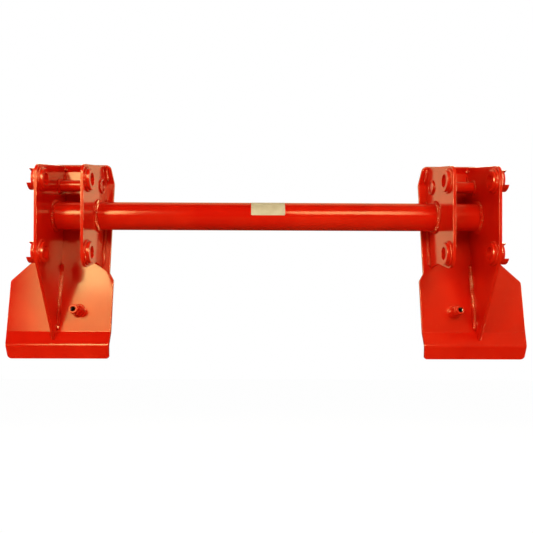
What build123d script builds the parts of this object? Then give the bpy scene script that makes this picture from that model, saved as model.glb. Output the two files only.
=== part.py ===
from build123d import *
from math import cos, radians, sin, tan
import os

# Loader-side carrier of a pin-on quick hitch: one cross tube joins two bent carrier plates,
# and each plate carries a pair of ears that take the two pins of one loader arm.
# Millimetres. X runs along the cross tube, -Y faces the loader, +Z is up.
# Heights and depths are measured from the axis of the cross tube.

# Cross tube and upper bars
TUBE_OD = 60.3
TUBE_WALL = 4.5
TUBE_FIT = 0.25
BAR_OD = 25.0
BAR_FIT = 0.25
BAR_Y = 7.0
BAR_Z = 70.0
BAR_STAND = 1.5

# Ears
EAR_SPAN = 729.0
EAR_T = 6.0
EAR_GAP = 85.5
EAR_MARGIN = 27.0
EAR_CORNER_R = 22.0
EAR_LOBE_R = 28.0
EAR_TOP_SLOPE = 19.3
HEEL_Z = -102.5
HEEL_Y = 0.0
HEEL_SLOPE = 20.0
HEEL_R = 15.0
GUSSET_TIP_Z = -264.0
GUSSET_LEAN = 41.0
GUSSET_R = 50.0

# Loader pin bores, upper one first
PIN_BORE = 26.0
PIN_SPACING = 147.0
PIN_LEAN = 11.0
UPPER_PIN_Y = -95.0
UPPER_PIN_Z = 49.5
BUSH_OD = 44.0
BUSH_FIT = 0.1
BUSH_CHAMFER = 1.2
BOSS_STAND = 10.0
COLLAR_INNER_STAND = 9.0
COLLAR_OUTER_STAND = 8.0
PRONG_STAND = 9.0
SLOT_WIDTH = 33.0

# Bent carrier plates
PLATE_SPAN = 1130.0
PLATE_T = 8.0
PLATE_Y = 52.5
PLATE_MARGIN = 16.0
BEND_R = 5.0
TOP_KNEE_Z = 91.5
TOP_STRIP = 42.0
TOP_LEAN = 40.0
TOP_TAPER = 4.0
LOW_KNEE_Z = -244.7
LOW_STRIP = 32.0
LOW_LEAN = 22.5
LIP_STRIP = 30.0
LIP_LEAN = -15.0
WING_STEP = 9.3
WING_STEP_Z = -115.0
WING_STEP_DROP = 16.0
WING_SHOULDER_Z = -134.0
WING_CHAMFER = 46.0
LIP_TAPER = 10.0
TOP_INNER_R = 12.0
TOP_OUTER_R = 6.0
WING_CORNER_R = 11.0
LIP_OUTER_R = 10.0
LIP_INNER_R = 5.0

# Flat stiffeners between the ears, under the plates' top strips
STIFFENER_Y = 34.5
STIFFENER_T = 6.0
STIFFENER_GAP = 6.5

# Latch lever posts
POST_INSET = 45.0
POST_Z = -200.0
POST_OD = 22.5
POST_FOOT_OD = 24.0
POST_LENGTH = 33.0
TIP_OD = 19.0
TIP_LENGTH = 9.0
TIP_CHAMFER = 1.0
THREAD_BORE = 10.2
THREAD_DEPTH = 30.0
THREAD_MOUTH = 0.9

# Fillet welds
TUBE_WELD = 6.0
BAR_WELD = 4.0
BUSH_WELD = 4.0
POST_WELD = 7.0
EAR_WELD = 6.0
STIFFENER_WELD = 4.0
GUSSET_WELD = 8.0
GUSSET_WELD_TOP = -94.0
INNER_WELD_TOP = 52.0
WELD_END = 3.0

# Faces and edges that follow from the sizes above, on the +X side
INNER_EAR_X = EAR_SPAN / 2
GAP_INNER_X = INNER_EAR_X + EAR_T
GAP_OUTER_X = GAP_INNER_X + EAR_GAP
OUTER_EAR_X = GAP_OUTER_X + EAR_T
PLATE_INNER_X = INNER_EAR_X - PLATE_MARGIN
PLATE_OUTER_X = OUTER_EAR_X + PLATE_MARGIN
UPPER_PIN = (UPPER_PIN_Y, UPPER_PIN_Z)
LOWER_PIN = (
    UPPER_PIN_Y + PIN_SPACING * sin(radians(PIN_LEAN)),
    UPPER_PIN_Z - PIN_SPACING * cos(radians(PIN_LEAN)),
)
PINS = {"upper": UPPER_PIN, "lower": LOWER_PIN}
COLLAR_FACE_X = OUTER_EAR_X + COLLAR_OUTER_STAND
POST_X = GAP_OUTER_X - POST_INSET
STIFFENER_BOTTOM = BAR_Z + BAR_OD / 2 + STIFFENER_GAP
UPRIGHT = 90.0


def step(point, length, lean):
    """Point reached from point by going down length at lean degrees from the vertical."""
    return (point[0] - length * sin(radians(lean)), point[1] - length * cos(radians(lean)))


def crossing(point_a, slope_a, point_b, slope_b):
    """Crossing of two lines in (y, z), each given by a point and its degrees above horizontal."""
    ka, kb = tan(radians(slope_a)), tan(radians(slope_b))
    y = (point_b[1] - point_a[1] + ka * point_a[0] - kb * point_b[0]) / (ka - kb)
    return (y, point_a[1] + ka * (y - point_a[0]))


# Front face of the carrier plate in (y, z), from its top edge down to the lip
TOP_KNEE = (PLATE_Y, TOP_KNEE_Z)
LOW_KNEE = (PLATE_Y, LOW_KNEE_Z)
TOP_EDGE = step(TOP_KNEE, -TOP_STRIP, -TOP_LEAN)
RIDGE = step(LOW_KNEE, LOW_STRIP, LOW_LEAN)
LIP_EDGE = step(RIDGE, LIP_STRIP, LIP_LEAN)
FRONT_LINE = [TOP_EDGE, TOP_KNEE, LOW_KNEE, RIDGE, LIP_EDGE]
GUSSET_TIP = step(LOW_KNEE, (LOW_KNEE_Z - GUSSET_TIP_Z) / cos(radians(LOW_LEAN)), LOW_LEAN)
STIFFENER_TOP = crossing(TOP_KNEE, UPRIGHT + TOP_LEAN, (STIFFENER_Y, 0), UPRIGHT)


def offset_line(points, distance):
    """The open line moved by distance to its +Y side, with mitred corners."""
    moved = []
    for i, (y, z) in enumerate(points):
        before = points[max(i - 1, 0)]
        after = points[min(i + 1, len(points) - 1)]
        normals = []
        for (y0, z0), (y1, z1) in ((before, (y, z)), ((y, z), after)):
            if (y0, z0) != (y1, z1):
                run = Vector(0, y1 - y0, z1 - z0).normalized()
                normals.append(Vector(0, -run.Z, run.Y))
        mean = sum(normals, Vector(0, 0, 0)).normalized()
        reach = distance / mean.dot(normals[0])
        moved.append((y + mean.Y * reach, z + mean.Z * reach))
    return moved


def yz_face(points, radii=None):
    """Closed face in the YZ plane, with the corners at the given points rounded."""
    face = make_face(Plane.YZ * Polyline(*points, close=True))
    for (y, z), radius in (radii or {}).items():
        corner = face.vertices().sort_by_distance((0, y, z))[0]
        face = fillet(corner, radius)
    return face


def along_x(face, start, end):
    """Solid that carries a YZ face from x = start to x = end."""
    return Pos(start, 0, 0) * extrude(face, end - start, dir=(1, 0, 0))


def x_cylinder(diameter, start, end, centre=(0, 0)):
    """Round bar along X between start and end, centred at (y, z)."""
    place = Plane(origin=(start, *centre), x_dir=(0, 1, 0), z_dir=(1, 0, 0))
    return extrude(place * Circle(diameter / 2), end - start)


def bent_radii(front, back):
    """Rounding of the plate's three bends, tight inside and one thickness more outside."""
    tight, wide = BEND_R, BEND_R + PLATE_T
    radii = {front[1]: tight, front[2]: tight, front[3]: wide}
    radii.update({back[1]: wide, back[2]: wide, back[3]: tight})
    return radii


def carrier_plate():
    """Bent plate with a narrow upper part, a wide wing and a folded lip."""
    back = offset_line(FRONT_LINE, PLATE_T)
    section = yz_face(FRONT_LINE + back[::-1], bent_radii(FRONT_LINE, back))
    wing_x = PLATE_SPAN / 2
    blank = along_x(section, PLATE_INNER_X - WING_STEP, wing_x)
    top, bottom = TOP_EDGE[1] + PLATE_T, LIP_EDGE[1] - PLATE_T
    chamfer_rise = (wing_x - PLATE_OUTER_X) / tan(radians(WING_CHAMFER))
    lip_drop = LOW_KNEE_Z - LIP_EDGE[1]
    lip_x = wing_x - LIP_TAPER * (LOW_KNEE_Z - bottom) / lip_drop
    top_x = PLATE_INNER_X + TOP_TAPER * (top - TOP_KNEE_Z) / (TOP_EDGE[1] - TOP_KNEE_Z)
    step_corner = (PLATE_INNER_X - WING_STEP, WING_STEP_Z - WING_STEP_DROP)
    outline = [
        (PLATE_INNER_X, TOP_KNEE_Z),
        (top_x, top),
        (PLATE_OUTER_X, top),
        (PLATE_OUTER_X, WING_SHOULDER_Z + chamfer_rise),
        (wing_x, WING_SHOULDER_Z),
        (wing_x, LOW_KNEE_Z),
        (lip_x, bottom),
        (PLATE_INNER_X - WING_STEP, bottom),
        step_corner,
        (PLATE_INNER_X, WING_STEP_Z),
    ]
    sheet = make_face(Plane.XZ * Polyline(*outline, close=True))
    depth = 2 * (PLATE_Y + PLATE_T)
    plate = blank & extrude(sheet, depth, both=True)
    corners = plate.edges().filter_by(lambda edge: abs(edge.length - PLATE_T) < PLATE_T / 2)
    rounds = (
        ((PLATE_INNER_X + TOP_TAPER, *TOP_EDGE), TOP_INNER_R),
        ((PLATE_OUTER_X, *TOP_EDGE), TOP_OUTER_R),
        ((wing_x, PLATE_Y, WING_SHOULDER_Z), WING_CORNER_R),
        ((step_corner[0], PLATE_Y, step_corner[1]), WING_CORNER_R),
        ((PLATE_INNER_X - WING_STEP, *LIP_EDGE), LIP_INNER_R),
        ((wing_x - LIP_TAPER, *LIP_EDGE), LIP_OUTER_R),
    )
    for place, radius in rounds:
        plate = fillet(corners.sort_by(lambda edge: (edge.center() - Vector(*place)).length)[0], radius)
        corners = plate.edges().filter_by(lambda edge: abs(edge.length - PLATE_T) < PLATE_T / 2)
    return plate


def behind_plate():
    """Everything on the +Y side of the carrier plate's front face, for trimming the ears."""
    far = PLATE_Y + 4 * PLATE_T
    upper = (far, TOP_EDGE[1] + PLATE_T)
    lower = (far, LIP_EDGE[1] - PLATE_T)
    radii = bent_radii(FRONT_LINE, offset_line(FRONT_LINE, PLATE_T))
    front_radii = {point: radii[point] for point in FRONT_LINE[1:4]}
    face = yz_face(FRONT_LINE + [lower, upper], front_radii)
    return along_x(face, INNER_EAR_X - EAR_T, OUTER_EAR_X + EAR_T)


FRONT_SLOPE = UPRIGHT + PIN_LEAN
FRONT_POINT = (
    UPPER_PIN_Y - EAR_MARGIN * cos(radians(PIN_LEAN)),
    UPPER_PIN_Z - EAR_MARGIN * sin(radians(PIN_LEAN)),
)
EAR_CORNER = crossing(FRONT_POINT, FRONT_SLOPE, TOP_EDGE, EAR_TOP_SLOPE)


def inner_ear():
    """Ear beside the middle of the hitch, ending in a lobe under its lower bore."""
    lobe = crossing(FRONT_POINT, FRONT_SLOPE, (HEEL_Y, HEEL_Z), HEEL_SLOPE)
    heel = (HEEL_Y, HEEL_Z)
    outline = [TOP_EDGE, EAR_CORNER, lobe, heel, (PLATE_Y + PLATE_T, HEEL_Z), (PLATE_Y + PLATE_T, TOP_EDGE[1])]
    face = yz_face(outline, {EAR_CORNER: EAR_CORNER_R, lobe: EAR_LOBE_R, heel: HEEL_R})
    ear = along_x(face, INNER_EAR_X, GAP_INNER_X) - behind_plate()
    ear -= x_cylinder(TUBE_OD + 2 * TUBE_FIT, INNER_EAR_X, GAP_INNER_X)
    ear -= x_cylinder(BAR_OD + 2 * BAR_FIT, INNER_EAR_X, GAP_INNER_X, (BAR_Y, BAR_Z))
    for pin in PINS.values():
        ear -= x_cylinder(BUSH_OD + 2 * BUSH_FIT, INNER_EAR_X, GAP_INNER_X, pin)
    return ear


def outer_ear():
    """Ear that runs on down as a tapering gusset to the folded lip."""
    bend = crossing(FRONT_POINT, FRONT_SLOPE, GUSSET_TIP, UPRIGHT + GUSSET_LEAN)
    behind = PLATE_Y + PLATE_T
    outline = [TOP_EDGE, EAR_CORNER, bend, GUSSET_TIP, (behind, GUSSET_TIP[1]), (behind, TOP_EDGE[1])]
    face = yz_face(outline, {EAR_CORNER: EAR_CORNER_R, bend: GUSSET_R})
    ear = along_x(face, GAP_OUTER_X, OUTER_EAR_X) - behind_plate()
    for pin in PINS.values():
        ear -= x_cylinder(BUSH_OD + 2 * BUSH_FIT, GAP_OUTER_X, OUTER_EAR_X, pin)
    return ear


def chamfer_rims(bush, faces_x):
    """Chamfer on the outer rim of a bush at each of the given ends."""
    rims = [
        edge
        for edge in bush.edges().filter_by(GeomType.CIRCLE)
        if edge.radius > BUSH_OD / 2 - BUSH_FIT and min(abs(edge.center().X - x) for x in faces_x) < BUSH_FIT
    ]
    return chamfer(rims, BUSH_CHAMFER)


def pin_boss(pin):
    """Bush in the inner ear, flush on the gap side and standing out towards the middle."""
    start = INNER_EAR_X - BOSS_STAND
    boss = chamfer_rims(x_cylinder(BUSH_OD, start, GAP_INNER_X, pin), [start])
    return boss - x_cylinder(PIN_BORE, start, GAP_INNER_X, pin)


def pin_collar(pin):
    """Bush in the outer ear whose outer end is slotted for the pin's keeper bar."""
    start, end = GAP_OUTER_X - COLLAR_INNER_STAND, COLLAR_FACE_X + PRONG_STAND
    collar = chamfer_rims(x_cylinder(BUSH_OD, start, end, pin), [start])
    collar -= x_cylinder(PIN_BORE, start, end, pin)
    slot = Box(PRONG_STAND, 2 * BUSH_OD, SLOT_WIDTH, align=(Align.MIN, Align.CENTER, Align.CENTER))
    return collar - Pos(COLLAR_FACE_X, *pin) * Rot(-PIN_LEAN, 0, 0) * slot


def cross_bar():
    """Round bar through the inner ear, butted against the outer ear."""
    return x_cylinder(BAR_OD, INNER_EAR_X - BAR_STAND, GAP_OUTER_X, (BAR_Y, BAR_Z))


def top_stiffener():
    """Flat bar on edge between the two ears, its upper end cut to the plate's top strip."""
    width = TOP_EDGE[1] - STIFFENER_BOTTOM
    bar = Box(EAR_GAP, STIFFENER_T, width, align=Align.MIN)
    return Pos(GAP_INNER_X, STIFFENER_Y, STIFFENER_BOTTOM) * bar - behind_plate()


def stiffener_welds():
    """Upright beads that join the stiffener's front face to both ears."""
    start, end = (STIFFENER_Y, STIFFENER_BOTTOM), (STIFFENER_Y, STIFFENER_TOP[1] - EAR_WELD)
    ends = ((GAP_INNER_X, 1), (GAP_OUTER_X, -1))
    return Compound(children=[edge_bead(x, side, start, end, STIFFENER_WELD) for x, side in ends])


def cross_tube():
    """Tube through both inner ears, butted against both outer ears."""
    tube = x_cylinder(TUBE_OD, -GAP_OUTER_X, GAP_OUTER_X)
    return tube - x_cylinder(TUBE_OD - 2 * TUBE_WALL, -GAP_OUTER_X, GAP_OUTER_X)


def latch_post():
    """Stepped post square to the plate, tapped in its tip, that the latch lever turns on."""
    base = Plane(origin=(POST_X, PLATE_Y, POST_Z), x_dir=(1, 0, 0), z_dir=(0, -1, 0))
    total = POST_LENGTH + TIP_LENGTH
    radii = (POST_OD / 2, TIP_OD / 2, THREAD_BORE / 2)
    outline = [
        (0, 0),
        (POST_FOOT_OD / 2, 0),
        (POST_FOOT_OD / 2, POST_WELD),
        (radii[0], POST_WELD),
        (radii[0], POST_LENGTH),
        (radii[1], POST_LENGTH),
        (radii[1], total - TIP_CHAMFER),
        (radii[1] - TIP_CHAMFER, total),
        (radii[2] + THREAD_MOUTH, total),
        (radii[2], total - THREAD_MOUTH),
        (radii[2], total - THREAD_DEPTH),
        (0, total - THREAD_DEPTH),
    ]
    section = make_face(Plane.XZ * Polyline(*outline, close=True))
    return base.location * revolve(section, Axis.Z)


def bead_section(radius, leg, toward):
    """Face of a fillet weld in the corner of a round bar and a flat face."""
    corner, out, up = (radius, 0), (radius + leg, 0), (radius, toward * leg)
    return make_face(Plane.XZ * Polyline(corner, out, up, close=True))


def ring_bead(diameter, leg, face, centre, side):
    """Fillet weld around a bar along X, on the flat face at x = face, on its side (+1 or -1)."""
    place = Plane(origin=(face, *centre), x_dir=(0, 1, 0), z_dir=(1, 0, 0))
    return place.location * revolve(bead_section(diameter / 2, leg, side), Axis.Z)


def edge_bead(face, side, start, end, leg):
    """Fillet weld in the corner of an ear face and the plate, from start to end in (y, z)."""
    run = Vector(0, end[0] - start[0], end[1] - start[1])
    place = Plane(origin=(face, *start), x_dir=(side, 0, 0), z_dir=run.normalized())
    toward = -1 if place.y_dir.Y > 0 else 1
    section = make_face(place * Polyline((0, 0), (leg, 0), (0, toward * leg), close=True))
    return extrude(section, run.length)


def along_front(z):
    """Point of the plate's flat front face at height z."""
    return (PLATE_Y, z)


def plate_weld(face, side, top, bottom, leg):
    """Bead down the flat of the plate and a second one on its top strip."""
    facing_gap = face in (GAP_INNER_X, GAP_OUTER_X)
    strip_bottom = STIFFENER_TOP if facing_gap else step(TOP_KNEE, -BEND_R, -TOP_LEAN)
    strip_top = step(TOP_EDGE, WELD_END, -TOP_LEAN)
    flat = edge_bead(face, side, along_front(bottom), along_front(top), leg)
    return [flat, edge_bead(face, side, strip_bottom, strip_top, EAR_WELD)]


def inner_ear_welds():
    """Beads that hold the inner ear to the plate, on both of its faces."""
    top, bottom = INNER_WELD_TOP, HEEL_Z + WELD_END
    faces = ((INNER_EAR_X, -1), (GAP_INNER_X, 1))
    return Compound(children=[bead for x, side in faces for bead in plate_weld(x, side, top, bottom, EAR_WELD)])


def outer_ear_welds():
    """Beads that hold the outer ear and its gusset to the plate, on both faces."""
    top, bottom = GUSSET_WELD_TOP, LOW_KNEE_Z + WELD_END
    faces = ((GAP_OUTER_X, -1), (OUTER_EAR_X, 1))
    return Compound(children=[bead for x, side in faces for bead in plate_weld(x, side, top, bottom, GUSSET_WELD)])


def tube_welds():
    """Beads round the cross tube on the inner ear's two faces and against the outer ear."""
    spots = ((INNER_EAR_X, -1), (GAP_INNER_X, 1), (GAP_OUTER_X, -1))
    return Compound(children=[ring_bead(TUBE_OD, TUBE_WELD, x, (0, 0), side) for x, side in spots])


def bar_welds():
    """Beads round the upper bar, the first one capping its end on the inner ear."""
    spots = ((GAP_INNER_X, 1), (GAP_OUTER_X, -1))
    centre = (BAR_Y, BAR_Z)
    beads = [ring_bead(BAR_OD, BAR_WELD, x, centre, side) for x, side in spots]
    return Compound(children=beads + [bar_end_weld()])


def bar_end_weld():
    """Low ring of weld round the bar's end on the face of the inner ear."""
    end = INNER_EAR_X - BAR_STAND
    ring = x_cylinder(BAR_OD + 2 * BAR_WELD, end, INNER_EAR_X, (BAR_Y, BAR_Z))
    return ring - x_cylinder(BAR_OD, end, INNER_EAR_X, (BAR_Y, BAR_Z))


def bush_welds(spots):
    """Beads round both pin bushes of an ear, one at each given face and side."""
    beads = [ring_bead(BUSH_OD, BUSH_WELD, x, pin, side) for pin in PINS.values() for x, side in spots]
    return Compound(children=beads)


def post_weld():
    """Bead round the foot of the latch post."""
    base = Plane(origin=(POST_X, PLATE_Y, POST_Z), x_dir=(1, 0, 0), z_dir=(0, -1, 0))
    return base.location * revolve(bead_section(POST_FOOT_OD / 2, POST_WELD, 1), Axis.Z)


def side_pieces():
    """Every piece of the +X side, by name."""
    pieces = {
        "carrier_plate": carrier_plate(),
        "inner_ear": inner_ear(),
        "outer_ear": outer_ear(),
        "cross_bar": cross_bar(),
        "top_stiffener": top_stiffener(),
        "latch_post": latch_post(),
    }
    for level, pin in PINS.items():
        pieces[f"{level}_pin_boss"] = pin_boss(pin)
        pieces[f"{level}_pin_collar"] = pin_collar(pin)
    pieces["inner_ear_welds"] = inner_ear_welds()
    pieces["outer_ear_welds"] = outer_ear_welds()
    pieces["tube_welds"] = tube_welds()
    pieces["bar_welds"] = bar_welds()
    pieces["boss_welds"] = bush_welds(((INNER_EAR_X, -1),))
    pieces["collar_welds"] = bush_welds(((GAP_OUTER_X, -1), (OUTER_EAR_X, 1)))
    pieces["stiffener_welds"] = stiffener_welds()
    pieces["post_weld"] = post_weld()
    return pieces


def assembly():
    """Every node of the hitch, standing on z = 0 and centred on the origin in X and Y."""
    nodes = {"main_cross_tube": cross_tube()}
    for name, shape in side_pieces().items():
        nodes[f"right_{name}"] = shape
        nodes[f"left_{name}"] = mirror(shape, about=Plane.YZ)
    boxes = [shape.bounding_box() for shape in nodes.values()]
    front = min(box.min.Y for box in boxes)
    back = max(box.max.Y for box in boxes)
    floor = min(box.min.Z for box in boxes)
    home = Pos(0, -(front + back) / 2, -floor)
    return {name: home * shape for name, shape in nodes.items()}


os.makedirs("parts", exist_ok=True)
for node, solid in assembly().items():
    export_step(solid, f"parts/{node}.step")
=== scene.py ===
"""Looks of a welded, enamelled loader quick hitch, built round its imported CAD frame."""
import logging
from dataclasses import dataclass, fields
from enum import Enum
from math import ceil, cos, pi, radians, sin
from typing import ClassVar

import bmesh
import bpy
from mathutils import Matrix, Vector


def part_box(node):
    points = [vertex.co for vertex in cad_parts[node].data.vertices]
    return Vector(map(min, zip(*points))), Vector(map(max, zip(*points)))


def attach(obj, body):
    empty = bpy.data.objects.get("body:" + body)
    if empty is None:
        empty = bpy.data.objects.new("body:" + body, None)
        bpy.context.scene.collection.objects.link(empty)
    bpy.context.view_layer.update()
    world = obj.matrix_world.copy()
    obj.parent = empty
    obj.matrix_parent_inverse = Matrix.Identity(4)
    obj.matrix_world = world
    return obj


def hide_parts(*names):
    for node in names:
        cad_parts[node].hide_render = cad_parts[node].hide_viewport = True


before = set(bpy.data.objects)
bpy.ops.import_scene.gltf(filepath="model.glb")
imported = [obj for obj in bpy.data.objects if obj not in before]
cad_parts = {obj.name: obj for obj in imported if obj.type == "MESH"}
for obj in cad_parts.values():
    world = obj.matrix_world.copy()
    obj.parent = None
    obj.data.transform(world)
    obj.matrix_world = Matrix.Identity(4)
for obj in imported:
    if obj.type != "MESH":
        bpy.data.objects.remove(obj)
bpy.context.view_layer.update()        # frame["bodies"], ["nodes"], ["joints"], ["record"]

LOG = logging.getLogger("quick_hitch")
MM = 0.001
IMAGE_WIDTH = 533.0
IMAGE_HEIGHT = 533.0
SENSOR_WIDTH = 36.0
WHITE = (1.0, 1.0, 1.0, 1.0)
BEAD_STEP = 0.7 * MM
MERGE_DISTANCE = 0.002 * MM
FLAT_ANGLE = radians(0.3)
EDGE_ANGLE = radians(28)
EDGE_SEGMENTS = 2
MID_NOISE = (0.35, 0.65)
WIDE_NOISE = (0.3, 0.7)
HAZE_GRAIN_WAVES = 900.0
DUST_PATCH_WAVES = 30.0
DUST_REACH = (0.03, 0.12)
Colour = tuple[float, float, float]
Place = tuple[float, float, float]
Value = float | bpy.types.NodeSocket
ColourValue = tuple[float, float, float, float] | bpy.types.NodeSocket


class Side(Enum):
    """The two mirrored sides of the hitch, with the sign of their x."""

    LEFT = -1
    RIGHT = 1

    @property
    def word(self) -> str:
        """Word that starts the names of this side's nodes."""
        return self.name.lower()


class ShaderTree:
    """Short way to add and join nodes in a shader or group tree."""

    def __init__(self, tree: bpy.types.NodeTree) -> None:
        """Keeps the tree and empties it."""
        self.tree = tree
        tree.nodes.clear()

    def add(self, kind: str, inputs: dict | None = None, **settings) -> bpy.types.Node:
        """Adds one node.

        Args:
            kind: The node's type name.
            inputs: Values or output sockets, by the name or number of the input.
            settings: Properties of the node itself.

        Returns:
            The new node.
        """
        node = self.tree.nodes.new(kind)
        for name, value in settings.items():
            setattr(node, name, value)
        for key, value in (inputs or {}).items():
            socket = node.inputs[key]
            if isinstance(value, bpy.types.NodeSocket):
                self.tree.links.new(value, socket)
            else:
                socket.default_value = value
        return node

    def math(self, operation: str, first: Value, second: Value = 0.0, third: Value = 0.0) -> bpy.types.NodeSocket:
        """Adds a Math node.

        Args:
            operation: The operation's name.
            first: Number or socket.
            second: Number or socket.
            third: Number or socket, for the operations that take three.

        Returns:
            The node's output.
        """
        node = self.add("ShaderNodeMath", {0: first, 1: second, 2: third}, operation=operation)
        return node.outputs[0]

    def mix_colour(self, factor: Value, first: ColourValue, second: ColourValue) -> bpy.types.NodeSocket:
        """Adds a node that mixes two colours.

        Args:
            factor: Share of the second colour.
            first: Colour or socket.
            second: Colour or socket.

        Returns:
            The mixed colour.
        """
        node = self.add("ShaderNodeMix", {0: factor, 6: first, 7: second}, data_type="RGBA")
        return node.outputs[2]

    def ramp(self, value: Value, low: float, high: float, start: float = 0.0,
             end: float = 1.0) -> bpy.types.NodeSocket:
        """Adds a clamped Map Range node.

        Args:
            value: Number or socket.
            low: Value that gives start.
            high: Value that gives end.
            start: Output at low.
            end: Output at high.

        Returns:
            The mapped value.
        """
        node = self.add("ShaderNodeMapRange", {0: value, 1: low, 2: high, 3: start, 4: end})
        return node.outputs[0]


class MaterialTree(ShaderTree):
    """Tree of a new material."""

    def __init__(self, name: str) -> None:
        """Makes the material and keeps it."""
        self.material = bpy.data.materials.new(name)
        self.material.use_nodes = True
        super().__init__(self.material.node_tree)

    def place(self) -> bpy.types.NodeSocket:
        """Object coordinates of the shaded point."""
        return self.add("ShaderNodeTexCoord").outputs["Object"]

    def noise(self, place: bpy.types.NodeSocket, scale: float, detail: float) -> bpy.types.NodeSocket:
        """Adds a noise texture.

        Args:
            place: Where it is read.
            scale: Waves for each metre.
            detail: Finer layers on top.

        Returns:
            The noise, about 0.5 on average.
        """
        return self.add("ShaderNodeTexNoise", {"Vector": place, "Scale": scale, "Detail": detail}).outputs[0]

    def surfaced(self, shader: bpy.types.Node) -> bpy.types.Material:
        """Gives the material its finished shader and returns it."""
        output = self.add("ShaderNodeOutputMaterial")
        self.tree.links.new(shader.outputs[0], output.inputs["Surface"])
        return self.material


def group_tree(name: str, inputs: dict[str, str], outputs: dict[str, str]) -> tuple[ShaderTree, dict, bpy.types.Node]:
    """Starts a shader node group.

    Args:
        name: The group's name.
        inputs: Socket types by the names of the inputs.
        outputs: Socket types by the names of the outputs.

    Returns:
        The tree's builder, the group's input sockets by name, and its output node.
    """
    tree = bpy.data.node_groups.new(name, "ShaderNodeTree")
    for label, kind in inputs.items():
        tree.interface.new_socket(label, in_out="INPUT", socket_type=kind)
    for label, kind in outputs.items():
        tree.interface.new_socket(label, in_out="OUTPUT", socket_type=kind)
    builder = ShaderTree(tree)
    entry = builder.add("NodeGroupInput")
    return builder, {label: entry.outputs[label] for label in inputs}, builder.add("NodeGroupOutput")


def enamel_skin_group() -> bpy.types.NodeTree:
    """Group for sprayed enamel: its orange peel, slow change of tone and uneven gloss.

    Returns:
        The group's tree, with a Height, a Cloud and a Haze output.
    """
    builder, given, out = group_tree(
        "enamel_skin",
        {"Vector": "NodeSocketVector", "Peel Scale": "NodeSocketFloat", "Cloud Scale": "NodeSocketFloat"},
        {"Height": "NodeSocketFloat", "Cloud": "NodeSocketFloat", "Haze": "NodeSocketFloat"},
    )
    peel = builder.add("ShaderNodeTexNoise", {"Vector": given["Vector"], "Scale": given["Peel Scale"],
                                              "Detail": 1.5, "Roughness": 0.45})
    cloud = builder.add("ShaderNodeTexNoise", {"Vector": given["Vector"], "Scale": given["Cloud Scale"],
                                               "Detail": 3.0, "Roughness": 0.5})
    fine = builder.add("ShaderNodeTexNoise", {"Vector": given["Vector"], "Scale": HAZE_GRAIN_WAVES, "Detail": 2.0})
    builder.tree.links.new(peel.outputs[0], out.inputs["Height"])
    builder.tree.links.new(builder.ramp(cloud.outputs[0], *MID_NOISE), out.inputs["Cloud"])
    haze = builder.math("MULTIPLY", builder.ramp(cloud.outputs[0], *WIDE_NOISE), fine.outputs[0])
    builder.tree.links.new(haze, out.inputs["Haze"])
    return builder.tree


def dust_group() -> bpy.types.NodeTree:
    """Group for fine dust nibs that settled in the wet enamel.

    Returns:
        The group's tree, with a Mask output.
    """
    builder, given, out = group_tree(
        "dust_nibs",
        {"Vector": "NodeSocketVector", "Nib Scale": "NodeSocketFloat", "Amount": "NodeSocketFloat"},
        {"Mask": "NodeSocketFloat"},
    )
    cells = builder.add("ShaderNodeTexVoronoi", {"Vector": given["Vector"], "Scale": given["Nib Scale"]})
    patch = builder.add("ShaderNodeTexNoise", {"Vector": given["Vector"], "Scale": DUST_PATCH_WAVES, "Detail": 2.0})
    reach = builder.math("MULTIPLY", given["Amount"], builder.ramp(patch.outputs[0], *WIDE_NOISE, *DUST_REACH))
    nib = builder.math("LESS_THAN", cells.outputs["Distance"], reach)
    builder.tree.links.new(nib, out.inputs["Mask"])
    return builder.tree


@dataclass(frozen=True)
class Enamel:
    """Glossy sprayed enamel, with the colours of a thick and a thin coat."""

    name: str
    peel_scale: float
    peel_height: float
    smooth: float
    hazy: float
    dust: float
    thick: Colour = (0.66, 0.0062, 0.0016)
    thin: Colour = (0.76, 0.0120, 0.0024)
    nib: Colour = (0.85, 0.22, 0.09)
    sheen_tint: Colour = (1.0, 0.80, 0.42)
    cloud_scale: float = 9.0
    haze_full: float = 0.7
    nib_scale: float = 260.0
    nib_share: float = 0.3
    nib_roughness: float = 0.25
    nib_relief: float = 0.5
    refraction: float = 1.5

    def material(self, skin: bpy.types.NodeTree, dust: bpy.types.NodeTree) -> bpy.types.Material:
        """Builds the material.

        Args:
            skin: The enamel skin group.
            dust: The dust nibs group.

        Returns:
            The material.
        """
        tree = MaterialTree(self.name)
        place = tree.place()
        layer = tree.add("ShaderNodeGroup", node_tree=skin)
        nibs = tree.add("ShaderNodeGroup", node_tree=dust)
        for node in (layer, nibs):
            tree.tree.links.new(place, node.inputs["Vector"])
        layer.inputs["Peel Scale"].default_value = self.peel_scale
        layer.inputs["Cloud Scale"].default_value = self.cloud_scale
        nibs.inputs["Nib Scale"].default_value = self.nib_scale
        nibs.inputs["Amount"].default_value = self.dust
        coat = tree.mix_colour(layer.outputs["Cloud"], (*self.thick, 1.0), (*self.thin, 1.0))
        mask = nibs.outputs["Mask"]
        colour = tree.mix_colour(tree.math("MULTIPLY", mask, self.nib_share), coat, (*self.nib, 1.0))
        gloss = tree.ramp(layer.outputs["Haze"], 0.0, self.haze_full, self.smooth, self.hazy)
        rough = tree.math("ADD", gloss, tree.math("MULTIPLY", mask, self.nib_roughness))
        relief = tree.math("ADD", layer.outputs["Height"], tree.math("MULTIPLY", mask, self.nib_relief))
        bump = tree.add("ShaderNodeBump", {"Height": relief, "Distance": self.peel_height, "Strength": 1.0})
        surface = tree.add("ShaderNodeBsdfPrincipled", {
            "Base Color": colour, "Roughness": rough, "Normal": bump.outputs[0],
            "Specular Tint": (*self.sheen_tint, 1.0), "IOR": self.refraction})
        return tree.surfaced(surface)


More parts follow.
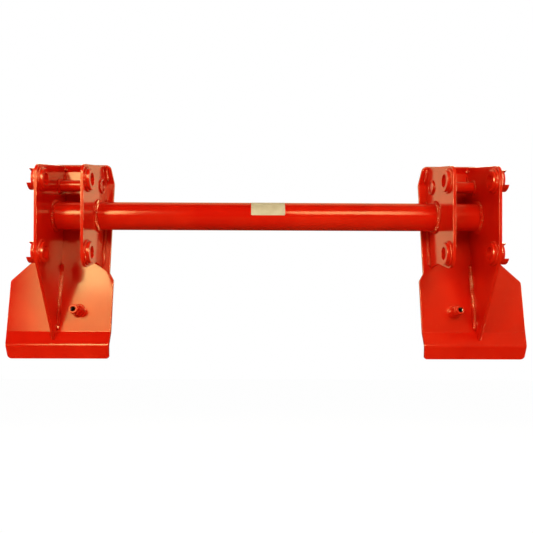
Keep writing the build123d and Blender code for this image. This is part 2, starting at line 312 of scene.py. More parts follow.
@dataclass(frozen=True)
class BareThread:
    """Bright cut steel of a tapped hole, mottled with near-black patches that stand partly for oil and partly for
    painted shade inside the hole.
    """

    name: str = "bare_thread_steel"
    steel: Colour = (0.75, 0.66, 0.52)
    # Near-black for oil, and also painted shade that darkens the inside of the tapped hole.
    oil: Colour = (0.03, 0.022, 0.018)
    stain_scale: float = 260.0
    stain_span: tuple[float, float] = (0.38, 0.50)
    polished: float = 0.18
    dulled: float = 0.45

    def material(self) -> bpy.types.Material:
        """Builds the material."""
        tree = MaterialTree(self.name)
        oil_and_shade_patches = tree.noise(tree.place(), self.stain_scale, 3.0)
        # Mixing in the near-black patches paints shade into the hole as well as oil.
        colour = tree.mix_colour(tree.ramp(oil_and_shade_patches, *self.stain_span), (*self.steel, 1.0), (*self.oil, 1.0))
        rough = tree.ramp(oil_and_shade_patches, *MID_NOISE, self.polished, self.dulled)
        return tree.surfaced(tree.add("ShaderNodeBsdfPrincipled", {
            "Base Color": colour, "Metallic": 1.0, "Roughness": rough}))


@dataclass(frozen=True)
class StickerFilm:
    """Off-white paper film with a faint mottle and a soft sheen."""

    name: str = "sticker_film"
    paper: Colour = (0.66, 0.55, 0.42)
    aged: Colour = (0.58, 0.46, 0.33)
    blotch_scale: float = 55.0
    fibre_scale: float = 1500.0
    fibre_height: float = 0.02 * MM
    smooth: float = 0.42
    worn: float = 0.58

    def material(self) -> bpy.types.Material:
        """Builds the material."""
        tree = MaterialTree(self.name)
        place = tree.place()
        blotch = tree.noise(place, self.blotch_scale, 3.0)
        fibre = tree.noise(place, self.fibre_scale, 2.0)
        colour = tree.mix_colour(tree.ramp(blotch, *MID_NOISE), (*self.paper, 1.0), (*self.aged, 1.0))
        bump = tree.add("ShaderNodeBump", {"Height": fibre, "Distance": self.fibre_height, "Strength": 0.6})
        rough = tree.ramp(fibre, *WIDE_NOISE, self.smooth, self.worn)
        return tree.surfaced(tree.add("ShaderNodeBsdfPrincipled", {
            "Base Color": colour, "Normal": bump.outputs[0], "Roughness": rough}))


@dataclass(frozen=True)
class Finishes:
    """Materials of the hitch, by the kind of piece that wears them."""

    plate: bpy.types.Material
    steel: bpy.types.Material
    weld: bpy.types.Material
    thread: bpy.types.Material
    film: bpy.types.Material


def build_finishes() -> Finishes:
    """Builds every material of the hitch.

    Returns:
        The materials.
    """
    skin, dust = enamel_skin_group(), dust_group()
    plate = Enamel("plate_enamel", peel_scale=330.0, peel_height=0.06 * MM, smooth=0.10, hazy=0.20, dust=1.0)
    steel = Enamel("ear_and_tube_enamel", peel_scale=420.0, peel_height=0.05 * MM, smooth=0.10, hazy=0.20, dust=0.5)
    weld = Enamel("weld_enamel", peel_scale=520.0, peel_height=0.20 * MM, smooth=0.06, hazy=0.11, dust=0.6,
                  thick=(0.60, 0.0055, 0.0015), thin=(0.72, 0.0105, 0.0022))
    return Finishes(plate.material(skin, dust), steel.material(skin, dust), weld.material(skin, dust),
                    BareThread().material(), StickerFilm().material())


def link_piece(name: str, mesh: bpy.types.Mesh, material: bpy.types.Material) -> bpy.types.Object:
    """Puts a finished mesh in the scene as a piece of the hitch.

    Args:
        name: The piece's name.
        mesh: Its mesh, in the row frame.
        material: What it wears.

    Returns:
        The piece.
    """
    mesh.materials.clear()
    mesh.materials.append(material)
    piece = bpy.data.objects.new(name, mesh)
    bpy.context.scene.collection.objects.link(piece)
    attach(piece, "root")
    LOG.info("%s: %d faces", name, len(mesh.polygons))
    return piece


def bevelled_copy(node: str, width: float) -> bpy.types.Mesh:
    """Merged copy of a CAD node with softly broken edges and smooth curved faces.

    Args:
        node: The CAD node.
        width: Width of the broken edges, in metres.

    Returns:
        The new mesh.
    """
    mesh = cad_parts[node].data.copy()
    mesh.name = f"{node}_dressed"
    work = bmesh.new()
    work.from_mesh(mesh)
    bmesh.ops.remove_doubles(work, verts=work.verts, dist=MERGE_DISTANCE)
    bmesh.ops.dissolve_limit(work, angle_limit=FLAT_ANGLE, verts=work.verts, edges=work.edges)
    for face in work.faces:
        face.smooth = True
    work.to_mesh(mesh)
    work.free()
    holder = bpy.data.objects.new(mesh.name, mesh)
    bpy.context.scene.collection.objects.link(holder)
    bevel = holder.modifiers.new("broken_edges", "BEVEL")
    bevel.width, bevel.segments = width, EDGE_SEGMENTS
    bevel.limit_method, bevel.angle_limit = "ANGLE", EDGE_ANGLE
    weights = holder.modifiers.new("flat_faces_stay_flat", "WEIGHTED_NORMAL")
    weights.mode, weights.weight = "FACE_AREA", 100
    depsgraph = bpy.context.evaluated_depsgraph_get()
    made = bpy.data.meshes.new_from_object(holder.evaluated_get(depsgraph))
    bpy.data.objects.remove(holder)
    bpy.data.meshes.remove(mesh)
    return made


@dataclass
class DressedSteel:
    """A cut or bent steel piece: its CAD node with broken edges and enamel."""

    node: str
    material: bpy.types.Material
    edge: float = 0.8 * MM

    def build(self) -> bpy.types.Object:
        """Makes the piece and lets it stand for its CAD node.

        Returns:
            The piece.
        """
        piece = link_piece(f"{self.node}_enamelled", bevelled_copy(self.node, self.edge), self.material)
        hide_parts(self.node)
        return piece


@dataclass
class BeadRun:
    """Path of one weld bead, with the two directions that its legs take at each point."""

    THINNEST: ClassVar[float] = 0.001
    points: list[Vector]
    out: list[Vector]
    up: list[Vector]
    girth: list[float]

    @staticmethod
    def ring(centre: Vector, radius: float, level: Vector, rise: Vector) -> "BeadRun":
        """Run round a bar or a post, in the corner with a flat face.

        Args:
            centre: Centre of the ring on the face.
            radius: The bar's radius.
            level: Direction in the face from which the ring starts.
            rise: Direction along the bar in which the bead stands up.

        Returns:
            The run, closed on itself.
        """
        count = ceil(2 * pi * radius / BEAD_STEP)
        upright = Vector((0, 0, 1))
        turns = [2 * pi * i / count for i in range(count + 1)]
        spokes = [level * cos(turn) + upright * sin(turn) for turn in turns]
        return BeadRun([centre + radius * spoke for spoke in spokes], spokes, [rise] * (count + 1),
                       [1.0] * (count + 1))

    @staticmethod
    def straight(start: Vector, end: Vector, out: Vector, up: Vector, leg: float) -> "BeadRun":
        """Straight run that swells from nothing at both ends.

        Args:
            start: Its first point.
            end: Its last point.
            out: Direction of the leg on the plate.
            up: Direction of the leg on the ear.
            leg: Length over which the ends swell.

        Returns:
            The open run.
        """
        length = (end - start).length
        count = ceil(length / BEAD_STEP)
        points = [start.lerp(end, i / count) for i in range(count + 1)]
        girth = []
        for i in range(count + 1):
            near = min(i, count - i) * length / count / leg
            girth.append(max(1 - max(1 - near, 0) ** 2, 0) ** 0.5 + BeadRun.THINNEST)
        return BeadRun(points, [out] * (count + 1), [up] * (count + 1), girth)

    def path_object(self) -> bpy.types.Object:
        """Makes the run an object that the weld tree can read.

        Returns:
            The object, with its directions and girth as point attributes.
        """
        mesh = bpy.data.meshes.new("bead_path")
        mesh.from_pydata(self.points, [(i, i + 1) for i in range(len(self.points) - 1)], [])
        for name, values in (("out", self.out), ("up", self.up)):
            layer = mesh.attributes.new(name, "FLOAT_VECTOR", "POINT")
            layer.data.foreach_set("vector", [part for value in values for part in value])
        mesh.attributes.new("girth", "FLOAT", "POINT").data.foreach_set("value", self.girth)
        holder = bpy.data.objects.new("bead_path", mesh)
        bpy.context.scene.collection.objects.link(holder)
        return holder


@dataclass(frozen=True)
class BeadForm:
    """Sizes of one kind of bead; all but the lengths are shares of its leg."""

    leg: float
    bulge: float = 0.22
    pitch: float = 3.0 * MM
    ripple: float = 0.15
    step: float = BEAD_STEP
    wander: float = 0.15
    lumps: float = 0.12

    def inputs(self) -> dict[str, float]:
        """The sizes by the names of the weld tree's inputs."""
        return {size.name.title(): getattr(self, size.name) for size in fields(self)}


class WeldTree:
    """Geometry Nodes tree that sweeps a rippled fillet weld along a run."""

    SECTION = 7
    DRIFT_WAVES = 90.0
    DRIFT = 1.2
    SWELL_WAVES = 35.0
    LUMP_WAVES = 380.0
    RIPPLE_BOW = 0.35
    RIPPLE_MEAN = 0.6
    MERGE = 0.01 * MM

    def __init__(self, material: bpy.types.Material) -> None:
        """Builds the tree.

        Args:
            material: What every bead wears.
        """
        self.tree = bpy.data.node_groups.new("rippled_fillet", "GeometryNodeTree")
        self.sockets: dict[str, str] = {}
        face = self.tree.interface
        face.new_socket("Geometry", in_out="INPUT", socket_type="NodeSocketGeometry")
        for label, value in BeadForm(leg=5 * MM).inputs().items():
            socket = face.new_socket(label, in_out="INPUT", socket_type="NodeSocketFloat")
            socket.default_value = value
            self.sockets[label] = socket.identifier
        seed = face.new_socket("Seed", in_out="INPUT", socket_type="NodeSocketFloat")
        self.sockets["Seed"] = seed.identifier
        face.new_socket("Geometry", in_out="OUTPUT", socket_type="NodeSocketGeometry")
        self._wire(material)

    def _wire(self, material: bpy.types.Material) -> None:
        """Adds and joins the nodes.

        Args:
            material: What the bead wears.
        """
        t = ShaderTree(self.tree)
        given = t.add("NodeGroupInput").outputs
        path = given["Geometry"]
        count = t.add("GeometryNodeAttributeDomainSize", {"Geometry": path}, component="MESH")
        rows = self.SECTION + 2
        grid = t.add("GeometryNodeMeshGrid", {"Size X": 1.0, "Size Y": 1.0, "Vertices Y": rows})
        self.tree.links.new(count.outputs["Point Count"], grid.inputs["Vertices X"])
        index = t.add("GeometryNodeInputIndex").outputs[0]
        along = t.math("FLOOR", t.math("DIVIDE", t.math("ADD", index, 0.5), float(rows)))
        across = t.math("SUBTRACT", index, t.math("MULTIPLY", along, float(rows)))
        looped = t.math("MODULO", across, float(rows - 1))
        share = t.math("DIVIDE", looped, float(self.SECTION - 1))
        on_face = t.math("LESS_THAN", looped, self.SECTION - 0.5)
        raised, size = self._swell(t, given, along, share)
        legs = []
        for reach in (t.math("SUBTRACT", 1.0, share), share):
            full = t.math("MULTIPLY", t.math("ADD", reach, raised), on_face)
            legs.append(t.math("MULTIPLY", full, size))
        spot = self._sample(t, path, None, "FLOAT_VECTOR", along)
        for name, length in (("out", legs[0]), ("up", legs[1])):
            arm = t.add("ShaderNodeVectorMath", {0: self._sample(t, path, name, "FLOAT_VECTOR", along),
                                                 "Scale": length}, operation="SCALE")
            spot = t.add("ShaderNodeVectorMath", {0: spot, 1: arm.outputs[0]}).outputs[0]
        placed = t.add("GeometryNodeSetPosition", {"Geometry": grid.outputs["Mesh"], "Position": spot})
        merged = t.add("GeometryNodeMergeByDistance", {"Geometry": placed.outputs[0], "Distance": self.MERGE})
        smooth = t.add("GeometryNodeSetShadeSmooth", {"Geometry": merged.outputs[0]})
        real = t.add("GeometryNodeRealizeInstances", {"Geometry": smooth.outputs[0]})
        dressed = t.add("GeometryNodeSetMaterial", {"Geometry": real.outputs[0], "Material": material})
        out = t.add("NodeGroupOutput")
        self.tree.links.new(dressed.outputs[0], out.inputs[0])

    def _swell(self, t: ShaderTree, given: bpy.types.bpy_prop_collection, along: Value,
               share: Value) -> tuple[bpy.types.NodeSocket, bpy.types.NodeSocket]:
        """How far the bead's skin stands up, and how wide the bead is.

        Args:
            t: The tree's builder.
            given: The tree's inputs.
            along: Number of the point along the run.
            share: Place across the section, from 0 at the plate to 1 at the ear.

        Returns:
            The height over the flat between the two feet as a share of the leg, and the leg's length here.
        """
        run = t.math("MULTIPLY", along, given["Step"])
        hump = t.math("MULTIPLY", t.math("MULTIPLY", share, t.math("SUBTRACT", 1.0, share)), 4.0)
        phase = t.math("ADD", t.math("DIVIDE", run, given["Pitch"]), t.math("MULTIPLY", hump, self.RIPPLE_BOW))
        drift = self._noise(t, run, given["Seed"], self.DRIFT_WAVES)
        phase = t.math("ADD", phase, t.math("MULTIPLY", drift, self.DRIFT))
        scallop = t.math("ABSOLUTE", t.math("SINE", t.math("MULTIPLY", phase, pi)))
        girth = self._sample(t, given["Geometry"], "girth", "FLOAT", along)
        swell = t.math("SUBTRACT", self._noise(t, run, given["Seed"], self.SWELL_WAVES), 0.5)
        swell = t.math("MULTIPLY", swell, given["Wander"])
        size = t.math("MULTIPLY", t.math("MULTIPLY", given["Leg"], girth), t.math("ADD", swell, 1.0))
        ripple = t.math("MULTIPLY", t.math("SUBTRACT", scallop, self.RIPPLE_MEAN), given["Ripple"])
        skin = t.add("ShaderNodeCombineXYZ", {0: t.math("ADD", run, given["Seed"]),
                                              1: t.math("MULTIPLY", share, given["Leg"])})
        grain = t.add("ShaderNodeTexNoise", {"Vector": skin.outputs[0], "Scale": self.LUMP_WAVES, "Detail": 2.0},
                      noise_dimensions="2D")
        lumps = t.math("MULTIPLY", t.math("SUBTRACT", grain.outputs[0], 0.5), given["Lumps"])
        raised = t.math("MULTIPLY", hump, t.math("ADD", t.math("ADD", given["Bulge"], ripple), lumps))
        return raised, size

    @staticmethod
    def _noise(t: ShaderTree, run: Value, seed: Value, scale: float) -> bpy.types.NodeSocket:
        """Slow noise along the run.

        Args:
            t: The tree's builder.
            run: Distance along the run.
            seed: Number that sets this bead apart.
            scale: Waves for each metre.

        Returns:
            The noise, about 0.5 on average.
        """
        noise = t.add("ShaderNodeTexNoise", {"W": t.math("ADD", run, seed), "Scale": scale, "Detail": 1.0},
                      noise_dimensions="1D")
        return noise.outputs[0]

    @staticmethod
    def _sample(t: ShaderTree, path: bpy.types.NodeSocket, name: str | None, kind: str,
                index: bpy.types.NodeSocket) -> bpy.types.NodeSocket:
        """Reads a value of the path's point with the given number.

        Args:
            t: The tree's builder.
            path: The path's geometry.
            name: The attribute, or None for the point's place.
            kind: The value's data type.
            index: The point's number.

        Returns:
            The value.
        """
        if name is None:
            value = t.add("GeometryNodeInputPosition").outputs[0]
        else:
            value = t.add("GeometryNodeInputNamedAttribute", {"Name": name}, data_type=kind).outputs[0]
        node = t.add("GeometryNodeSampleIndex", data_type=kind, domain="POINT")
        t.tree.links.new(path, node.inputs["Geometry"])
        t.tree.links.new(value, node.inputs["Value"])
        t.tree.links.new(index, node.inputs["Index"])
        return node.outputs[0]

    def bead(self, run: BeadRun, form: BeadForm, seed: float) -> bpy.types.Mesh:
        """Sweeps one bead and returns it as a plain mesh.

        Args:
            run: The bead's run.
            form: The bead's sizes.
            seed: Number that sets this bead apart.

        Returns:
            The bead's mesh.
        """
        holder = run.path_object()
        modifier = holder.modifiers.new("weld", "NODES")
        modifier.node_group = self.tree
        for label, value in form.inputs().items():
            modifier[self.sockets[label]] = value
        modifier[self.sockets["Seed"]] = seed
        modifier[self.sockets["Step"]] = (run.points[1] - run.points[0]).length
        depsgraph = bpy.context.evaluated_depsgraph_get()
        made = bpy.data.meshes.new_from_object(holder.evaluated_get(depsgraph))
        path = holder.data
        bpy.data.objects.remove(holder)
        bpy.data.meshes.remove(path)
        return made


@dataclass
class WeldSet:
    """All the beads that one CAD weld node stands for."""

    node: str
    runs: list[BeadRun]
    form: BeadForm
    tree: WeldTree
    material: bpy.types.Material
    seed_step: float = 3.7

    def build(self) -> bpy.types.Object:
        """Makes the beads one piece and lets it stand for its CAD node.

        Returns:
            The piece.
        """
        work = bmesh.new()
        for number, run in enumerate(self.runs):
            bead = self.tree.bead(run, self.form, self.seed_step * number + len(self.node))
            work.from_mesh(bead)
            bpy.data.meshes.remove(bead)
        bmesh.ops.recalc_face_normals(work, faces=work.faces)
        mesh = bpy.data.meshes.new(f"{self.node}_beads")
        work.to_mesh(mesh)
        work.free()
        piece = link_piece(f"{self.node}_beads", mesh, self.material)
        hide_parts(self.node)
        return piece


@dataclass
class LatchPost:
    """Stepped post with a tapped tip."""

    side: Side
    finishes: Finishes
    pitch: float = 1.75 * MM
    thread_depth: float = 0.85 * MM
    bore: float = 5.1 * MM
    depth: float = 30 * MM
    edge: float = 0.5 * MM
    lead_in: float = 1.2 * MM
    floor_gap: float = 0.3 * MM
    wall_gap: float = 0.02 * MM
    spokes: int = 40
    rows_per_turn: int = 8
    plain_rows: int = 2

    def build(self) -> None:
        """Makes the enamelled post and the cut thread in its tip."""
        node = f"{self.side.word}_latch_post"
        DressedSteel(node, self.finishes.steel, self.edge).build()
        low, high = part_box(node)
        centre = (low + high) / 2
        tip = low.y
        link_piece(f"{self.side.word}_post_thread", self._thread(centre.x, tip, centre.z), self.finishes.thread)

    def _thread(self, x: float, tip: float, z: float) -> bpy.types.Mesh:
        """Liner of the hole, with the thread's crests standing in from the bore.

        Args:
            x: Place of the hole's axis.
            tip: Where the post ends.
            z: Height of the hole's axis.

        Returns:
            The liner's mesh.
        """
        length = self.depth - self.lead_in - self.floor_gap
        rows = ceil(length / self.pitch * self.rows_per_turn)
        work = bmesh.new()
        grid = []
        for row in range(rows + 1):
            ring = []
            for spoke in range(self.spokes):
                turn = spoke / self.spokes
                wave = abs(((row / self.rows_per_turn + turn) % 1.0) * 2 - 1)
                radius = self.bore - self.wall_gap - self.thread_depth * wave * (row > self.plain_rows)
                angle = 2 * pi * turn
                ring.append(work.verts.new((x + radius * cos(angle), tip + self.lead_in + length * row / rows,
                                            z + radius * sin(angle))))
            grid.append(ring)
        for near, far in zip(grid, grid[1:]):
            for i in range(self.spokes):
                j = (i + 1) % self.spokes
                work.faces.new((near[i], far[i], far[j], near[j])).smooth = True
        work.faces.new(grid[-1])
        mesh = bpy.data.meshes.new(f"{self.side.word}_post_thread")
        work.to_mesh(mesh)
        work.free()
        return mesh


@dataclass
class HitchSide:
    """One plate with its ears, bushes, bar, stiffener, post and welds."""

    side: Side
    finishes: Finishes
    tree: WeldTree
    plate_thickness: float = 8 * MM
    top_strip: float = 42 * MM
    top_lean: float = radians(40)
    bend: float = 5 * MM
    weld_end: float = 3 * MM
    inner_weld_top: float = 52 * MM
    gusset_weld_top: float = -94 * MM
    plate_edge: float = 1.0 * MM
    flat_edge: float = 0.8 * MM
    round_edge: float = 0.6 * MM
    tube_bead: BeadForm = BeadForm(leg=6 * MM, bulge=0.06, pitch=3.6 * MM, ripple=0.30, wander=0.7, lumps=0.8)
    bar_bead: BeadForm = BeadForm(leg=4 * MM, wander=0.35, lumps=0.25)
    bush_bead: BeadForm = BeadForm(leg=4 * MM)
    ear_bead: BeadForm = BeadForm(leg=6 * MM)
    gusset_bead: BeadForm = BeadForm(leg=6.2 * MM, bulge=0.10, pitch=5 * MM, ripple=0.13, lumps=0.3)
    stiffener_bead: BeadForm = BeadForm(leg=4 * MM, lumps=0.3)
    post_bead: BeadForm = BeadForm(leg=3 * MM, bulge=0.30, ripple=0.06)

    def name(self, piece: str) -> str:
        """Name of one of this side's nodes."""
        return f"{self.side.word}_{piece}"

    def faces(self, ear: str) -> tuple[float, float]:
        """The x of an ear's face towards the middle and of its outer face."""
        low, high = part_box(self.name(ear))
        return (low.x, high.x) if self.side is Side.RIGHT else (high.x, low.x)

    def axis_of(self, node: str) -> tuple[float, float, float]:
        """Centre (y, z) and radius of a round bar along X."""
        low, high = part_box(node)
        return (low.y + high.y) / 2, (low.z + high.z) / 2, (high.z - low.z) / 2

    def outward(self, away: int) -> Vector:
        """Direction away from the middle of the hitch where away is +1, or towards it where away is -1."""
        return Vector((away * self.side.value, 0, 0))

    def ring(self, node: str, x: float, away: int) -> BeadRun:
        """Run round a bar on an ear's face.

        Args:
            node: The bar.
            x: Place of the face.
            away: +1 where the bead lies on the outer side of the face, -1 on the inner one.

        Returns:
            The run.
        """
        y, z, radius = self.axis_of(node)
        return BeadRun.ring(Vector((x, y, z)), radius, Vector((0, 1, 0)), self.outward(away))

    def upright(self, x: float, away: int, y: float, heights: tuple[float, float], leg: float) -> BeadRun:
        """Straight run up the corner of an ear's face and a face that looks along -Y.

        Args:
            x: Place of the ear's face.
            away: +1 on the outer side of the ear, -1 on the inner one.
            y: Place of the other face.
            heights: Where the run starts and ends.
            leg: Leg length of the bead.

        Returns:
            The run.
        """
        low, high = heights
        return BeadRun.straight(Vector((x, y, low)), Vector((x, y, high)), self.outward(away), Vector((0, -1, 0)),
                                leg)

    def strip_run(self, x: float, away: int, in_gap: bool) -> BeadRun:
        """Run up the corner of an ear's face and the plate's leaning top strip.

        Args:
            x: Place of the ear's face.
            away: +1 on the outer side of the ear, -1 on the inner one.
            in_gap: True between the ears, where the run starts above the stiffener.

        Returns:
            The run.
        """
        lean, rise = sin(self.top_lean), cos(self.top_lean)
        along = Vector((0, -lean, rise))
        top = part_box(self.name("carrier_plate"))[1].z - self.plate_thickness * lean
        knee = Vector((x, self.front(), top - self.top_strip * rise))
        stiffener_low, stiffener_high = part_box(self.name("top_stiffener"))
        start = Vector((x, stiffener_low.y, stiffener_high.z)) if in_gap else knee + along * self.bend
        end = knee + along * (self.top_strip - self.weld_end)
        return BeadRun.straight(start, end, self.outward(away), Vector((0, -rise, -lean)), self.ear_bead.leg)

    def front(self) -> float:
        """The y of the plate's front face, where the latch post stands."""
        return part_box(self.name("latch_post"))[1].y

    def build(self) -> None:
        """Builds every piece of this side."""
        finishes = self.finishes
        DressedSteel(self.name("carrier_plate"), finishes.plate, self.plate_edge).build()
        for cut in ("inner_ear", "outer_ear", "top_stiffener"):
            DressedSteel(self.name(cut), finishes.steel, self.flat_edge).build()
        for bush in ("upper_pin_boss", "lower_pin_boss", "upper_pin_collar", "lower_pin_collar", "cross_bar"):
            DressedSteel(self.name(bush), finishes.steel, self.round_edge).build()
        LatchPost(self.side, finishes).build()
        for weld in self.welds():
            weld.build()

    def ear_runs(self, ear: str, top: float, leg: float) -> list[BeadRun]:
        """Runs that join an ear to the plate, on both of its faces.

        Args:
            ear: The ear.
            top: Where the runs on the plate's flat end, above the tube's axis.
            leg: Leg length of the runs on the flat.

        Returns:
            The runs.
        """
        inner, outer = self.faces(ear)
        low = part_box(self.name(f"{ear}_welds"))[0].z
        heights = (low, self.axis_of("main_cross_tube")[1] + top)
        runs = []
        for x, away in ((inner, -1), (outer, 1)):
            runs.append(self.upright(x, away, self.front(), heights, leg))
            runs.append(self.strip_run(x, away, (away > 0) == (ear == "inner_ear")))
        return runs

    def welds(self) -> list[WeldSet]:
        """Every set of beads on this side.

        Returns:
            The sets.
        """
        inner, gap_inner = self.faces("inner_ear")
        gap_outer, outer = self.faces("outer_ear")
        tube, bar = "main_cross_tube", self.name("cross_bar")
        bosses = [self.name(f"{level}_pin_boss") for level in ("upper", "lower")]
        post_low, post_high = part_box(self.name("latch_post"))
        post = Vector(((post_low.x + post_high.x) / 2, post_high.y, (post_low.z + post_high.z) / 2))
        stiffener_low, stiffener_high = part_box(self.name("top_stiffener"))
        stiffener_heights = (stiffener_low.z, stiffener_high.z - self.ear_bead.leg)
        through = ((inner, -1), (gap_inner, 1), (gap_outer, -1))
        beside_collars = ((gap_outer, -1), (outer, 1))
        plans = {
            "tube_welds": ([self.ring(tube, x, away) for x, away in through], self.tube_bead),
            "bar_welds": ([self.ring(bar, x, away) for x, away in through], self.bar_bead),
            "boss_welds": ([self.ring(boss, inner, -1) for boss in bosses], self.bush_bead),
            "collar_welds": ([self.ring(boss, x, away) for boss in bosses for x, away in beside_collars],
                             self.bush_bead),
            "post_weld": ([BeadRun.ring(post, (post_high.x - post_low.x) / 2, Vector((1, 0, 0)), Vector((0, -1, 0)))],
                          self.post_bead),
            "stiffener_welds": ([self.upright(x, away, stiffener_low.y, stiffener_heights, self.stiffener_bead.leg)
                                 for x, away in through[1:]], self.stiffener_bead),
            "inner_ear_welds": (self.ear_runs("inner_ear", self.inner_weld_top, self.ear_bead.leg), self.ear_bead),
            "outer_ear_welds": (self.ear_runs("outer_ear", self.gusset_weld_top, self.gusset_bead.leg),
                                self.gusset_bead),
        }
        return [WeldSet(self.name(node), runs, form, self.tree, self.finishes.weld)
                for node, (runs, form) in plans.items()]


@dataclass
class CrossTube:
    """The long tube and the bare sticker on it."""

    finishes: Finishes
    sticker_left: float = -35 * MM
    sticker_right: float = 37 * MM
    lower_edge: float = radians(-10)
    upper_edge: float = radians(80)
    film: float = 0.15 * MM
    glue: float = 0.03 * MM
    corner: float = 2.5 * MM
    corner_steps: int = 6
    cuts: int = 12
    edge: float = 0.6 * MM

    def build(self) -> None:
        """Builds the tube and its sticker."""
        DressedSteel("main_cross_tube", self.finishes.steel, self.edge).build()
        link_piece("tube_sticker", self._sticker(), self.finishes.film)

    def _sticker(self) -> bpy.types.Mesh:
        """Thin film bent round the tube, with rounded corners.

        Returns:
            The sticker's mesh.
        """
        low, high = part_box("main_cross_tube")
        y, z, radius = (low.y + high.y) / 2, (low.z + high.z) / 2, (high.z - low.z) / 2
        width = self.sticker_right - self.sticker_left
        height = (self.upper_edge - self.lower_edge) * radius
        outline = self._rounded_outline(width, height)
        work = bmesh.new()
        verts = [work.verts.new((px, py, 0)) for px, py in outline]
        face = work.faces.new(verts)
        bmesh.ops.triangulate(work, faces=[face])
        bmesh.ops.subdivide_edges(work, edges=work.edges, cuts=self.cuts, use_grid_fill=True)
        bmesh.ops.solidify(work, geom=work.faces, thickness=self.film)
        for vert in work.verts:
            angle = self.lower_edge + vert.co.y / radius
            rise = radius + self.glue + abs(vert.co.z)
            vert.co = Vector((self.sticker_left + vert.co.x, y - rise * cos(angle), z + rise * sin(angle)))
        bmesh.ops.recalc_face_normals(work, faces=work.faces)
        mesh = bpy.data.meshes.new("tube_sticker")
        work.to_mesh(mesh)
        work.free()
        return mesh

    def _rounded_outline(self, width: float, height: float) -> list[tuple[float, float]]:
        """Outline of the flat sticker.

        Args:
            width: Its width.
            height: Its height.

        Returns:
            The points, with each corner as an arc.
        """
        r, step = self.corner, 90 / self.corner_steps
        centres = ((width - r, r, -90), (width - r, height - r, 0), (r, height - r, 90), (r, r, 180))
        return [(x + r * cos(radians(start + step * i)), y + r * sin(radians(start + step * i)))
                for x, y, start in centres for i in range(self.corner_steps + 1)]


@dataclass(frozen=True)
class Softbox:
    """Rectangular area lamp that the camera doesn't see.

    Where glints_only is set it shows in the enamel's shine alone and lights nothing evenly.
    """

    name: str
    place: Place
    width: float
    height: float
    watts: float
    colour: Colour = (1.0, 0.86, 0.62)
    glints_only: bool = False

    def build(self, aim: Vector) -> None:
        """Adds the lamp, turned to face the given point."""
        lamp = bpy.data.lights.new(self.name, "AREA")
        lamp.shape, lamp.size, lamp.size_y = "RECTANGLE", self.width, self.height
        lamp.energy, lamp.color = self.watts, self.colour
        holder = bpy.data.objects.new(self.name, lamp)
        holder.location = self.place
        holder.visible_camera = False
        holder.visible_diffuse = not self.glints_only
        holder.rotation_euler = (aim - Vector(self.place)).to_track_quat("-Z", "Y").to_euler()
        bpy.context.scene.collection.objects.link(holder)


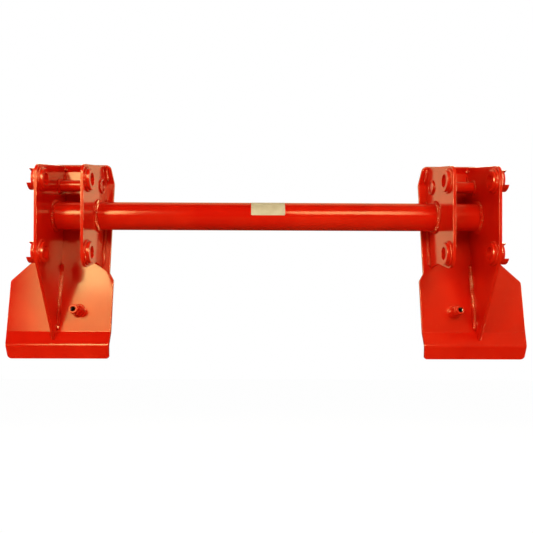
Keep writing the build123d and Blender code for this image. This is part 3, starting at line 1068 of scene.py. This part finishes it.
@dataclass
class Studio:
    """Pale floor, soft lamps and the camera at the photograph's place."""

    floor_height: float = -350 * MM
    floor_reach: float = 30.0
    floor_glow: float = 1.05
    floor_glow_share: float = 0.94
    floor_paper: Colour = (0.64, 0.62, 0.58)
    floor_mirrored: Colour = (0.12, 0.08, 0.03)
    lamp_aim: Vector = Vector((-0.1, 0.05, 0.25))
    backdrop_mirrored: Colour = (1.0, 0.76, 0.38)
    back_turn: tuple[float, float] = (0.0, 0.2)
    back_heights: tuple[float, float] = (0.05, 0.20)
    back_glow: tuple[float, float] = (0.30, 1.1)
    front_turn: tuple[float, float] = (0.2, 0.4)
    front_glow: tuple[float, float] = (0.02, 0.5)
    fill: float = 0.05
    camera_place: Vector = Vector((-0.0304, -1.1364, -0.0298))
    look_up: float = radians(11.12)
    look_right: float = radians(0.48)
    roll: float = radians(0.11)
    focal_pixels: float = 558.33
    middle_x: float = 257.74
    middle_y: float = 263.52
    nearest: float = 10 * MM

    def build(self) -> None:
        """Builds the floor, the lamps, the world and the camera."""
        self._floor()
        for softbox in self._softboxes():
            softbox.build(self.lamp_aim)
        self._world()
        self._camera()
        bpy.context.scene.view_settings.view_transform = "Standard"

    def _floor(self) -> None:
        """Adds the floor, which the camera sees nearly white with the hitch's shadow on it."""
        mesh = bpy.data.meshes.new("studio_floor")
        corners = [(-1, -1), (1, -1), (1, 1), (-1, 1)]
        mesh.from_pydata([(x * self.floor_reach, y * self.floor_reach, self.floor_height) for x, y in corners],
                         [], [(0, 1, 2, 3)])
        floor = bpy.data.objects.new("studio_floor", mesh)
        bpy.context.scene.collection.objects.link(floor)
        tree = MaterialTree("floor_paper")
        ray = tree.add("ShaderNodeLightPath")
        seen = tree.mix_colour(ray.outputs["Is Glossy Ray"], (*self.floor_paper, 1.0), (*self.floor_mirrored, 1.0))
        paper = tree.add("ShaderNodeBsdfDiffuse", {"Color": seen})
        glow = tree.add("ShaderNodeEmission", {"Color": WHITE, "Strength": self.floor_glow})
        share = tree.math("MULTIPLY", ray.outputs["Is Camera Ray"], self.floor_glow_share)
        mixed = tree.add("ShaderNodeMixShader", {0: share, 1: paper.outputs[0], 2: glow.outputs[0]})
        mesh.materials.append(tree.surfaced(mixed))

    @staticmethod
    def _softboxes() -> list[Softbox]:
        """Every lamp of the studio.

        On the left a soft skirt goes round a brighter core, and one box stands on the right. Each side has a lamp
        at the side, one at the back and one across the hitch for the glints on that side's gusset bead.

        Returns:
            The lamps.
        """
        boxes = [
            Softbox("left_skirt", (-1.03, -2.0, 0.70), 0.60, 1.12, watts=13.5, colour=(0.92, 0.98, 0.58)),
            Softbox("left_core", (-0.98, -2.0, 0.86), 0.38, 0.80, watts=9.0, colour=(0.90, 1.0, 0.76)),
            Softbox("right_softbox", (0.52, -2.0, 0.97), 0.72, 0.88, watts=20.0, colour=(1.0, 0.92, 0.66)),
        ]
        for side in Side:
            word, out = side.word, side.value
            boxes += [
                Softbox(f"{word}_side_lamp", (2.2 * out, -0.85, 0.56), 0.40, 0.64, watts=11.0),
                Softbox(f"{word}_back_lamp", (1.5 * out, 2.0, 1.5), 0.80, 0.80, watts=20.0),
                Softbox(f"{word}_bead_lamp", (-2.1 * out, -1.12, 0.58), 0.60, 0.90, watts=110.0, glints_only=True),
            ]
        return boxes

    def _world(self) -> None:
        """White for the camera, warm and dimmer in the enamel's reflections, and a faint even fill."""
        world = bpy.data.worlds.new("studio_world")
        bpy.context.scene.world = world
        world.use_nodes = True
        tree = ShaderTree(world.node_tree)
        ray = tree.add("ShaderNodeLightPath")
        glossy = ray.outputs["Is Glossy Ray"]
        heading = tree.add("ShaderNodeSeparateXYZ", {0: tree.add("ShaderNodeTexCoord").outputs["Generated"]})
        back_half = tree.ramp(heading.outputs["Y"], *self.back_turn)
        behind = tree.math("MULTIPLY", back_half,
                           tree.ramp(heading.outputs["Z"], *self.back_heights, *self.back_glow))
        beside = tree.math("MULTIPLY", tree.math("SUBTRACT", 1.0, back_half),
                           tree.ramp(heading.outputs["X"], *self.front_turn, *self.front_glow))
        mirrored = tree.math("MULTIPLY", glossy, tree.math("ADD", behind, beside))
        seen = tree.math("MAXIMUM", ray.outputs["Is Camera Ray"], ray.outputs["Is Transmission Ray"])
        unseen = tree.math("SUBTRACT", 1.0, tree.math("MAXIMUM", seen, glossy))
        strength = tree.math("ADD", tree.math("MAXIMUM", seen, mirrored), tree.math("MULTIPLY", unseen, self.fill))
        colour = tree.mix_colour(glossy, WHITE, (*self.backdrop_mirrored, 1.0))
        back = tree.add("ShaderNodeBackground", {"Color": colour, "Strength": strength})
        output = tree.add("ShaderNodeOutputWorld")
        tree.tree.links.new(back.outputs[0], output.inputs["Surface"])

    def _camera(self) -> None:
        """Adds the camera fitted to the photograph."""
        data = bpy.data.cameras.new("photo_camera")
        data.sensor_width = SENSOR_WIDTH
        data.lens = self.focal_pixels / IMAGE_WIDTH * SENSOR_WIDTH
        data.shift_x = (IMAGE_WIDTH / 2 - self.middle_x) / IMAGE_WIDTH
        data.shift_y = (self.middle_y - IMAGE_HEIGHT / 2) / IMAGE_HEIGHT
        data.clip_start = self.nearest
        forward = Vector((sin(self.look_right) * cos(self.look_up), cos(self.look_right) * cos(self.look_up),
                          sin(self.look_up)))
        right = forward.cross(Vector((0, 0, 1))).normalized()
        up = right.cross(forward)
        turned_right = right * cos(self.roll) + up * sin(self.roll)
        turned_up = up * cos(self.roll) - right * sin(self.roll)
        basis = Matrix((turned_right, turned_up, -forward)).transposed().to_4x4()
        camera = bpy.data.objects.new("photo_camera", data)
        camera.matrix_world = Matrix.Translation(self.camera_place) @ basis
        bpy.context.scene.collection.objects.link(camera)
        bpy.context.scene.camera = camera


def main() -> None:
    """Builds the hitch and its studio."""
    logging.basicConfig(level=logging.INFO, format="%(message)s")
    finishes = build_finishes()
    tree = WeldTree(finishes.weld)
    CrossTube(finishes).build()
    for side in Side:
        HitchSide(side, finishes, tree).build()
    Studio().build()


if __name__ == "__main__":
    main()
